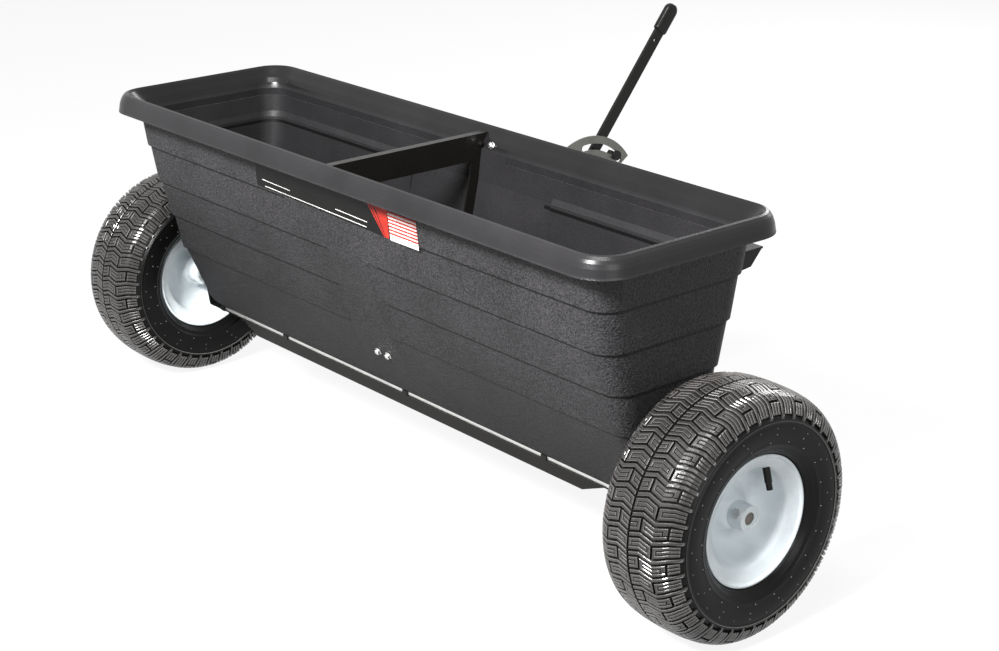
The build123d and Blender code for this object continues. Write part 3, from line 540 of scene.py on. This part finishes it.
def ring_with_slit(x0, x1, v0, v1, slit_left):
    # A block's outer ring, open at one lower corner, and the island inside it
    a, g = ARM, SIPE
    ring = [(x0, v0), (x1, v0), (x1, v1), (x0, v1), (x0, v1 - a), (x1 - a, v1 - a), (x1 - a, v0 + a),
            (x0 + a, v0 + a), (x0 + a, v1 - a - g), (x0, v1 - a - g)]
    island = [(x0 + a + g, v0 + a + g), (x1 - a - g, v0 + a + g), (x1 - a - g, v1 - a - g),
              (x0 + a + g, v1 - a - g)]
    if not slit_left:
        ring = [(x0 + x1 - x, y) for x, y in reversed(ring)]
    return [ring, island]


def hook_and_tongue(x0, x1, v0, v1, open_right):
    # A block whose slit runs in from one side: the hook round it and the tongue between
    a, g = ARM, SIPE
    hook = [(x0, v0), (x1, v0), (x1, v0 + a), (x0 + a, v0 + a), (x0 + a, v1 - a), (x1, v1 - a),
            (x1, v1), (x0, v1)]
    tongue = [(x0 + a + g, v0 + a + g), (x1, v0 + a + g), (x1, v1 - a - g), (x0 + a + g, v1 - a - g)]
    if not open_right:
        hook = [(x0 + x1 - x, y) for x, y in reversed(hook)]
        tongue = [(x0 + x1 - x, y) for x, y in reversed(tongue)]
    return [hook, tongue]


def bar(x0, x1, v0, v1):
    return [[(x0, v0), (x1, v0), (x1, v1), (x0, v1)]]


def tread_shapes():
    # One repeat of the right half: a row that starts with a wide block, then one that starts small
    row = ROWS_PITCH
    row_end = row + BLOCK_END
    shapes = ring_with_slit(GROOVE_SIDE, FIRST_INNER_END, 0, BLOCK_END, True)
    shapes += hook_and_tongue(FIRST_OUTER_START, BLOCK_SIDE, 0, BLOCK_END, True)
    shapes += bar(GROOVE_SIDE, BAR_SIDE, BAR_START, BAR_END)
    shapes += hook_and_tongue(GROOVE_SIDE, SECOND_INNER_END, row, row_end, False)
    shapes += ring_with_slit(MIDDLE_START, MIDDLE_END, row, row_end, False)
    for index in range(RIBS):
        low = row + index * RIB_PITCH
        shapes += bar(RIBS_START, BLOCK_SIDE, low, low + ARM)
    shapes += bar(GROOVE_SIDE, BAR_SIDE, row + BAR_START, row + BAR_END)
    return shapes


def tread_block(number, corners, mirrored):
    # Extra corners where the edges cross the wave's turns, so that they follow it
    points = []
    for (x, v), (next_x, next_v) in zip(corners, corners[1:] + corners[:1]):
        points.append((x, v))
        start, end = min(x, next_x) + NEAR_TURN, max(x, next_x) - NEAR_TURN
        turns = [turn for turn, shift in wave if start < turn < end]
        for turn in sorted(turns, reverse=next_x < x):
            points.append((turn, v + (next_v - v) * (turn - x) / (next_x - x)))
    side = -1 if mirrored else 1
    flat = [(side * x * MM, (v + along(wave, x)) * MM, -TREAD_DEEP * MM) for x, v in points]
    piece = outline("tread_block_%02d" % number, flat[::side])
    piece.data.materials.append(tread_rubber)
    piece.data.materials.append(edge_highlight_rubber)
    settle(piece)
    edit(piece)
    bpy.ops.mesh.normals_make_consistent(inside=False)
    raise_selected((0, 0, TREAD_DEEP * MM))
    point_outwards()
    leave()
    for vertex in piece.data.vertices:
        vertex.select = vertex.co.z > -NEAR_FACE
    edit_selected(piece)
    # The bevelled edges take the second slot, the painted highlight
    bpy.ops.mesh.bevel(offset=EDGE_BEVEL, segments=1, material=1)
    leave()
    return piece


def edit_selected(piece):
    # Into edit mode with the vertices that were selected in code, and the edges and faces between them
    only(piece)
    chosen = {vertex.index for vertex in piece.data.vertices if vertex.select}
    for edge in piece.data.edges:
        edge.select = set(edge.vertices) <= chosen
    for face in piece.data.polygons:
        face.select = set(face.vertices) <= chosen
    bpy.ops.object.mode_set(mode="EDIT")


def tread_strip():
    # The whole tread laid flat: two mirrored halves of blocks, repeated along the strip
    pieces = []
    for mirrored in (False, True):
        for corners in tread_shapes():
            pieces.append(tread_block(len(pieces), corners, mirrored))
    strip = joined("tread_strip", pieces)
    edit(strip)
    for cut in (*[-bend for bend in reversed(bends)], *bends):
        bpy.ops.mesh.select_all(action="SELECT")
        bpy.ops.mesh.bisect(plane_co=(cut * MM, 0, 0), plane_no=(1, 0, 0))
    leave()
    array = strip.modifiers.new("repeats", "ARRAY")
    array.use_relative_offset = False
    array.use_constant_offset = True
    array.count = REPEATS
    array.constant_offset_displace = (0, 2 * ROWS_PITCH * MM, 0)
    only(strip)
    bpy.ops.object.modifier_apply(modifier=array.name)
    return strip


def crown_slope(out):
    # How fast the crown falls at a distance from the middle
    return (along(crown, out + 1) - along(crown, max(out - 1, 0))) / (2 if out > 1 else 1 + out)


def wrap(strip, wheel_x):
    # Lay the flat strip round the tyre, each point square to the crown
    for vertex in strip.data.vertices:
        x, u, h = vertex.co
        out = abs(x) / MM
        slope = crown_slope(out)
        length = math.hypot(1, slope)
        depth = h / MM
        place_x = (out - slope / length * depth) * (1 if x > 0 else -1)
        radius = (along(crown, out) + depth / length) * MM
        turn = u / (WHEEL_RADIUS * MM)
        vertex.co = (wheel_x + place_x * MM, -FORWARD - radius * math.sin(turn),
                     AXLE_Z + radius * math.cos(turn))


def carcass(name, wheel_x):
    # From under the tread at the middle, round the sidewall and the bead, to the inside
    depth = TREAD_DEEP - CASING_LAP
    under = []
    for x, r in crown[:-2]:
        slope = crown_slope(x)
        length = math.hypot(1, slope)
        under.append((x + slope / length * depth, r - depth / length))
    half = under + list(sidewall) + list(lining)
    loop = half + [(-x, r) for x, r in half[:0:-1]]
    return turned_piece(name, loop, 6 * REPEATS, (wheel_x, -FORWARD, AXLE_Z), True)


def vent_nubs(wheel_x):
    # Short moulding spikes on both sidewalls
    bpy.ops.object.select_all(action="DESELECT")
    bpy.ops.mesh.primitive_cone_add(vertices=6, radius1=NUB_FOOT, radius2=NUB_TIP, depth=NUB_LENGTH,
                                    rotation=(0, math.pi / 2, 0))
    first = bpy.context.object
    settle(first)
    pieces = []
    for side in (-1, 1):
        for radius, out, count, start in nub_rings:
            for index in range(count):
                turn = start + 2 * math.pi * index / count
                copy = copy_of(first)
                copy.location = (wheel_x + side * out * MM, -FORWARD - radius * MM * math.sin(turn),
                                 AXLE_Z + radius * MM * math.cos(turn))
                pieces.append(copy)
    bpy.data.objects.remove(first)
    made = joined("vent_nubs", pieces)
    settle(made)
    return made


def tyre(name, wheel_x, body, strip):
    tread = copy_of(strip)
    wrap(tread, wheel_x)
    tread.data.shade_flat()
    casing = carcass(name + "_casing", wheel_x)
    casing.data.materials.append(side_rubber)
    nubs = vent_nubs(wheel_x)
    # The spikes wear the painted glint
    nubs.data.materials.append(nub_glint_rubber)
    piece = joined(name + "_with_tread", [casing, nubs, tread])
    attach(piece, body)
    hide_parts(name)


# Pressed wheel rims
# One half from its folded lip down the dish to the hub: distance from the wheel's middle and radius
rim_section = ((56.6, 97.2), (58.2, 98.6), (59.8, 98.4), (60.5, 97.0), (60.4, 95.4), (59.6, 94.4),
               (57.4, 93.9), (56.4, 93.0), (55.6, 90.4), (54.2, 87.4), (52.2, 83.6), (50.0, 78.4),
               (47.6, 75.6), (43.6, 73.8), (38.0, 72.6), (31.0, 70.6), (23.0, 67.2), (16.0, 62.6),
               (10.0, 56.6), (6.2, 50.4), (4.4, 44.4), (5.4, 38.4), (8.6, 33.6), (13.2, 29.6),
               (18.0, 26.0), (20.8, 23.0), (22.0, 19.6))
RIM_STEPS = 120
RIM_SHEET = 2.6 * MM
# Faces nearer than this to the wheel's middle show which way the dish's faces point
DISH_REACH = 30 * MM


def rim(name, wheel_x, body):
    halves = []
    for side in (-1, 1):
        section = [(side * x, r) for x, r in rim_section]
        half = turned_piece(name + "_half", section, RIM_STEPS, (wheel_x, -FORWARD, AXLE_Z), False)
        only(half)
        solid = half.modifiers.new("sheet", "SOLIDIFY")
        solid.thickness = RIM_SHEET
        outward = sum(1 if (one.normal.x * side) > 0 else -1 for one in half.data.polygons
                      if abs(one.center.x - wheel_x) < DISH_REACH)
        solid.offset = -1 if outward > 0 else 1
        bpy.ops.object.modifier_apply(modifier=solid.name)
        halves.append(half)
    piece = joined(name + "_pressed", halves)
    edit(piece)
    bpy.ops.mesh.normals_make_consistent(inside=False)
    leave()
    piece.data.shade_smooth()
    smooth_below(piece, 50)
    piece.data.materials.append(rim_paint)
    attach(piece, body)
    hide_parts(name)


flat_tread = tread_strip()
for side_name, place, body in (("right", WHEEL_X, "right_wheel"), ("left", -WHEEL_X, "left_wheel")):
    tyre(side_name + "_tyre", place, body, flat_tread)
    rim(side_name + "_rim", place, body)
bpy.data.objects.remove(flat_tread)


# Decal and fasteners
def sheet(name, points, thickness, on, material):
    # A thin flat piece: `on` gives the place of each corner and the way out
    piece = outline(name, [on(x, z, 0) for x, z in points])
    settle(piece)
    edit(piece)
    raise_selected(tuple(on(0, 0, thickness) - on(0, 0, 0)))
    point_outwards()
    leave()
    piece.data.materials.append(material)
    return piece


# The near wall's upper band, from the first crease up to the neck: heights and half widths
BAND_LOW, BAND_HIGH = (484.5, 147), (545.6, 154)
BAND_SLOPE = (BAND_HIGH[1] - BAND_LOW[1]) / (BAND_HIGH[0] - BAND_LOW[0])
BAND_TILT = math.atan(BAND_SLOPE)


def on_band(x, z, proud=0.0):
    # A place on the upper band, standing proud of it by so much
    y = -(BAND_LOW[1] + BAND_SLOPE * (z - BAND_LOW[0])) - proud * math.cos(BAND_TILT)
    return Vector((x * MM, y * MM - FORWARD, (z - proud * math.sin(BAND_TILT)) * MM))


# The label's thickness and its corners, and what is printed on it
LABEL_T, PRINT_T = 0.35, 0.12
label_left, label_right = -227, 203
label_top, label_foot, label_foot_left = 529.5, 478, 488
print_right = label_right - 0.6
print_top, print_foot = label_top - 2, label_foot + 2
patch_left = 132
stripe_foot, stripe_top, stripes = 489, label_top - 3.6, 13
# Each thin line: its start and end across, and the height of its top edge at both
LINE_T = 1.5
thin_lines = ((-211, -133, 502.2, 500.0), (-8, 75, 497.4, 495.2), (-205, 72, 491.6, 486.4))
# Each slash: its start and end at the label's top, and at its foot
slashes = ((81, 86, 116.4, 117.6), (89, 96, 118.6, 120.4), (99, 131, 121.6, 129))


def decal():
    # Dark label with plain lines, red slashes and a striped patch
    dark = rubber("decal_black", (0.004, 0.0036, 0.0034), 0.5, specular=0.15)
    white = rubber("decal_white", (0.62, 0.61, 0.59), 0.5, specular=0.2)
    red = rubber("decal_red", (0.42, 0.028, 0.018), 0.5, specular=0.2)
    ground = [(label_left, label_top), (label_right, label_top - 3), (label_right, label_foot),
              (label_left - 2, label_foot_left)]
    pieces = [sheet("decal_ground", ground, LABEL_T, on_band, dark)]

    def on_label(x, z, proud=0.0):
        return on_band(x, z, LABEL_T + proud)

    def printed(name, points, material):
        pieces.append(sheet(name, points, PRINT_T, on_label, material))

    def printed_box(name, foot, top, material):
        corners = [(patch_left, foot), (print_right, foot), (print_right, top), (patch_left, top)]
        printed(name, corners, material)

    for start, end, high, low in thin_lines:
        printed("thin_line", [(start, high), (end, low), (end, low - LINE_T), (start, high - LINE_T)],
                white)
    for top_start, top_end, foot_start, foot_end in slashes:
        printed("red_slash", [(top_start, print_top), (top_end, print_top), (foot_end, print_foot),
                              (foot_start, print_foot)], red)
    rise = (stripe_top - stripe_foot) / stripes
    for index in range(stripes):
        foot = stripe_foot + index * rise
        printed_box("patch_stripe", foot, foot + rise, red if index % 2 == 0 else white)
    printed_box("patch_strip", label_foot + 0.6, stripe_foot, white)
    piece = joined("wall_decal", pieces)
    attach(piece, "root")


# The lever's grip: its length and width, how far its round end's middle lies below its top, and its lean
GRIP_REACH, GRIP_WIDE, GRIP_END = 54 * MM, 26 * MM, 14 * MM
GRIP_LEAN = math.radians(38.9)
GRIP_STEPS = 14
GRIP_SOFT = 5 * MM


def lever_grip_cap():
    # Dipped grip: round at the top, square below, soft on every edge
    low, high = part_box("lever_grip")
    along_y, along_z = math.sin(GRIP_LEAN), math.cos(GRIP_LEAN)

    def on_grip(out, up):
        # A place across and along the grip, from the middle of its round end
        return (low[0], high[1] - GRIP_END + out * along_z + up * along_y,
                high[2] - GRIP_END - out * along_y + up * along_z)

    half = GRIP_WIDE / 2
    points = []
    for step in range(GRIP_STEPS + 1):
        turn = math.pi * step / GRIP_STEPS
        points.append(on_grip(half * math.cos(turn), half * math.sin(turn)))
    points.append(on_grip(-half, GRIP_END - GRIP_REACH))
    points.append(on_grip(half, GRIP_END - GRIP_REACH))
    piece = outline("rounded_grip", points)
    settle(piece)
    edit(piece)
    raise_selected((high[0] - low[0], 0, 0))
    point_outwards()
    leave()
    soften(piece, GRIP_SOFT, 5, 30)
    piece.data.materials.append(vinyl)
    smooth_below(piece, 40)
    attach(piece, "lever")
    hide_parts("lever_grip")


def cylinder(corners, radius, foot, high):
    # A round or hexagonal start, standing on a height along +Z
    bpy.ops.object.select_all(action="DESELECT")
    bpy.ops.mesh.primitive_cylinder_add(vertices=corners, radius=radius * MM, depth=high * MM,
                                        location=(0, 0, (foot + high / 2) * MM))
    piece = bpy.context.object
    settle(piece)
    return piece


# Shares of a head's own sizes: the washer's bevel, how far in the chamfer goes, and its rise
WASHER_BEVEL_SHARE, CHAMFER_SHARE, CHAMFER_RISE_SHARE = 0.3, 0.14, 0.28
CHAMFER_NARROWS = 0.62
HEAD_BEVEL = 0.45 * MM


def bolt_head(name, across, high, washer_r, washer_t, finish):
    # A flat washer and a chamfered hexagon head, standing along +Z on the plane z = 0
    washer = cylinder(32, washer_r, 0, washer_t)
    soften(washer, washer_t * WASHER_BEVEL_SHARE * MM, 1)
    head = cylinder(6, across / math.sqrt(3), washer_t, high)
    for vertex in head.data.vertices:
        vertex.select = vertex.co.z > (washer_t + high / 2) * MM
    edit_selected(head)
    bpy.ops.mesh.inset(thickness=across * CHAMFER_SHARE * MM, depth=0)
    raise_selected((0, 0, high * CHAMFER_RISE_SHARE * MM))
    bpy.ops.transform.resize(value=(CHAMFER_NARROWS, CHAMFER_NARROWS, 1))
    leave()
    soften(head, HEAD_BEVEL, 2)
    piece = joined(name, [washer, head])
    piece.data.materials.clear()
    piece.data.materials.append(finish)
    smooth_below(piece, 35)
    return piece


def placed(model, place, way):
    # A copy of the model, seated at a place and standing along a way
    copy = copy_of(model)
    copy.location = place
    copy.rotation_euler = Vector(way).to_track_quat("Z", "Y").to_euler()
    settle(copy)
    return copy


def seat(carrier, start, aim):
    # Where a line from `start` along `aim` meets the carrying node, and that face's way out
    piece = nodes[carrier]
    back = piece.matrix_world.inverted()
    x, y, z = start
    origin = back @ Vector((x * MM, y * MM - FORWARD, z * MM))
    hit, place, normal, index = piece.ray_cast(origin, (back.to_3x3() @ Vector(aim)).normalized())
    if not hit:
        raise RuntimeError("no seat on " + carrier + str(start))
    way = (piece.matrix_world.to_3x3() @ normal).normalized()
    return piece.matrix_world @ place, way


def fasteners(name, body, model, spots):
    # Each spot: the node that carries the fastener, where the line to its seat starts, and its way
    piece = joined(name, [placed(model, *seat(*spot)) for spot in spots])
    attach(piece, body)


def all_fasteners():
    # Heads: across flats, height, washer radius, washer thickness
    bolt = bolt_head("bolt_model", 9.5, 4.2, 6.6, 1.2, bright_zinc)
    dark_bolt = bolt_head("dark_bolt_model", 8.5, 3.4, 5.4, 1.0, black_paint)
    rivet = bolt_head("rivet_model", 4.2, 1.4, 3.0, 0.5, bright_zinc)
    forward, rearward, leftward = (0, 1, 0), (0, -1, 0), (-1, 0, 0)
    brace_x, leg_bolts_z = 15.5, 235
    fasteners("brace_bolts", "root", bolt, [
        ("hopper", (brace_x, 100, 550.5), forward),
        ("hopper", (brace_x, -100, 550.5), rearward),
        ("hopper", (-17, -200, leg_bolts_z), forward),
        ("hopper", (10, -200, leg_bolts_z), forward),
        ("hopper", (-17, 200, leg_bolts_z), rearward),
        ("hopper", (10, 200, leg_bolts_z), rearward),
    ])
    fasteners("brace_dark_bolts", "root", dark_bolt, [
        ("middle_brace", (60, 146, 551), leftward),
        ("middle_brace", (60, -146, 551), leftward),
    ])
    fasteners("wall_rivets", "root", rivet, [
        ("hopper", (-48, -200, 536), forward),
        ("hopper", (-31, -200, 536), forward),
    ])
    end_spots = [(carrier, (side * 625, y, z), (-side, 0, 0))
                 for side, carrier in ((1, "right_end_plate"), (-1, "left_end_plate"))
                 for y, z in ((-27, 240), (27, 240), (-16, 163), (16, 163))]
    fasteners("end_plate_bolts", "root", bolt, end_spots)
    fasteners("tongue_foot_bolts", "root", bolt, [
        ("tongue_foot", (-36, 60, 147), rearward),
        ("tongue_foot", (36, 60, 147), rearward),
    ])
    for model in (bolt, dark_bolt, rivet):
        bpy.data.objects.remove(model)


decal()
lever_grip_cap()
all_fasteners()


# Stage, light and camera
WHITE = (1, 1, 1, 1)
FLOOR_SIZE = 30
# The floor's tone for the light that it gives back, and for the eye; how far it then glows white
FLOOR_LIT, FLOOR_SEEN, FLOOR_GLOW = 0.16, 0.95, 0.88
WORLD_COLOUR, WORLD_STRENGTH = (0.95, 0.97, 1.0, 1), 0.13
lamps = (
    # name, place, aim, width, height, power
    ("softbox_rear", (0.9, -2.9, 2.5), (0.1, -0.2, 0.35), 1.0, 0.6, 330),
    ("softbox_top", (1.05, -1.3, 3.3), (0.3, -0.3, 0.5), 1.7, 0.8, 80),
    ("softbox_right", (3.6, -1.3, 1.5), (0.7, -0.2, 0.2), 1.7, 1.5, 40),
    ("softbox_front", (-0.9, 3.4, 2.0), (0.0, 0.2, 0.3), 2.2, 1.4, 75),
)
# The photo's camera: way round, height and roll in degrees, sensor and lens, and place in metres
CAMERA_AZIMUTH, CAMERA_ELEVATION, CAMERA_ROLL = 49.915, 20.126, -0.254
CAMERA_SENSOR, CAMERA_LENS = 36, 72.08
CAMERA_PLACE = (2.4603, -1.8903 - FORWARD, 1.4037)


def sum_of(owner, first, first_socket, second, second_socket):
    made = node(owner, "ShaderNodeMath", operation="ADD")
    made.use_clamp = True
    join(owner, first, first_socket, made, 0)
    join(owner, second, second_socket, made, 1)
    return made


def pale_floor():
    # White to the eye and to gloss, as the background is, but grey in the light it gives back
    bpy.ops.mesh.primitive_plane_add(size=FLOOR_SIZE, location=(0, 0, 0))
    floor = bpy.context.object
    floor.name = "floor"
    material, shader = new_material("floor_paint", shade(0.86), 0.9, specular=0.2)
    rays = node(material, "ShaderNodeLightPath")
    seen = sum_of(material, rays, "Is Camera Ray", rays, "Is Glossy Ray")
    tint = spread(material, seen, "Value", 0, 1, FLOOR_LIT, FLOOR_SEEN)
    join(material, tint, "Result", shader, "Base Color")
    glow = node(material, "ShaderNodeEmission")
    glow.inputs["Color"].default_value = WHITE
    share = node(material, "ShaderNodeMath", operation="MULTIPLY")
    share.inputs[1].default_value = FLOOR_GLOW
    join(material, seen, "Value", share, 0)
    blend = node(material, "ShaderNodeMixShader")
    join(material, share, "Value", blend, "Fac")
    join(material, shader, "BSDF", blend, 1)
    join(material, glow, "Emission", blend, 2)
    join(material, blend, "Shader", material.node_tree.nodes["Material Output"], "Surface")
    floor.data.materials.append(material)


def background(owner, colour, strength):
    made = node(owner, "ShaderNodeBackground")
    made.inputs["Color"].default_value = colour
    made.inputs["Strength"].default_value = strength
    return made


def studio_world():
    # White to the eye, to gloss and through clear pieces; a weak even light for the rest
    world = bpy.data.worlds.new("studio")
    bpy.context.scene.world = world
    world.use_nodes = True
    world.node_tree.nodes.clear()
    plain = background(world, WORLD_COLOUR, WORLD_STRENGTH)
    white = background(world, WHITE, 1.0)
    rays = node(world, "ShaderNodeLightPath")
    seen = sum_of(world, rays, "Is Camera Ray", rays, "Is Glossy Ray")
    through = sum_of(world, seen, "Value", rays, "Is Transmission Ray")
    mix = node(world, "ShaderNodeMixShader")
    join(world, through, "Value", mix, "Fac")
    join(world, plain, "Background", mix, 1)
    join(world, white, "Background", mix, 2)
    join(world, mix, "Shader", node(world, "ShaderNodeOutputWorld"), "Surface")


def softboxes():
    for name, spot, aim, width, height, power in lamps:
        data = bpy.data.lights.new(name, "AREA")
        data.shape = "RECTANGLE"
        data.size = width
        data.size_y = height
        data.energy = power
        lamp = bpy.data.objects.new(name, data)
        lamp.location = spot
        lamp.rotation_euler = (Vector(aim) - Vector(spot)).to_track_quat("-Z", "Y").to_euler()
        bpy.context.scene.collection.objects.link(lamp)


def photo_camera():
    azimuth, elevation = math.radians(CAMERA_AZIMUTH), math.radians(CAMERA_ELEVATION)
    roll = math.radians(CAMERA_ROLL)
    back = Vector((math.sin(azimuth) * math.cos(elevation), -math.cos(azimuth) * math.cos(elevation),
                   math.sin(elevation)))
    right = (-back).cross(Vector((0, 0, 1))).normalized()
    up = right.cross(-back)
    turned_right = math.cos(roll) * right + math.sin(roll) * up
    turned_up = -math.sin(roll) * right + math.cos(roll) * up
    data = bpy.data.cameras.new("photo_camera")
    data.sensor_width = CAMERA_SENSOR
    data.lens = CAMERA_LENS
    camera = bpy.data.objects.new("photo_camera", data)
    rows = [(turned_right[axis], turned_up[axis], back[axis], CAMERA_PLACE[axis]) for axis in range(3)]
    camera.matrix_world = Matrix((*rows, (0, 0, 0, 1)))
    bpy.context.scene.collection.objects.link(camera)
    bpy.context.scene.camera = camera


bpy.context.scene.view_settings.view_transform = "Standard"
pale_floor()
studio_world()
softboxes()
photo_camera()
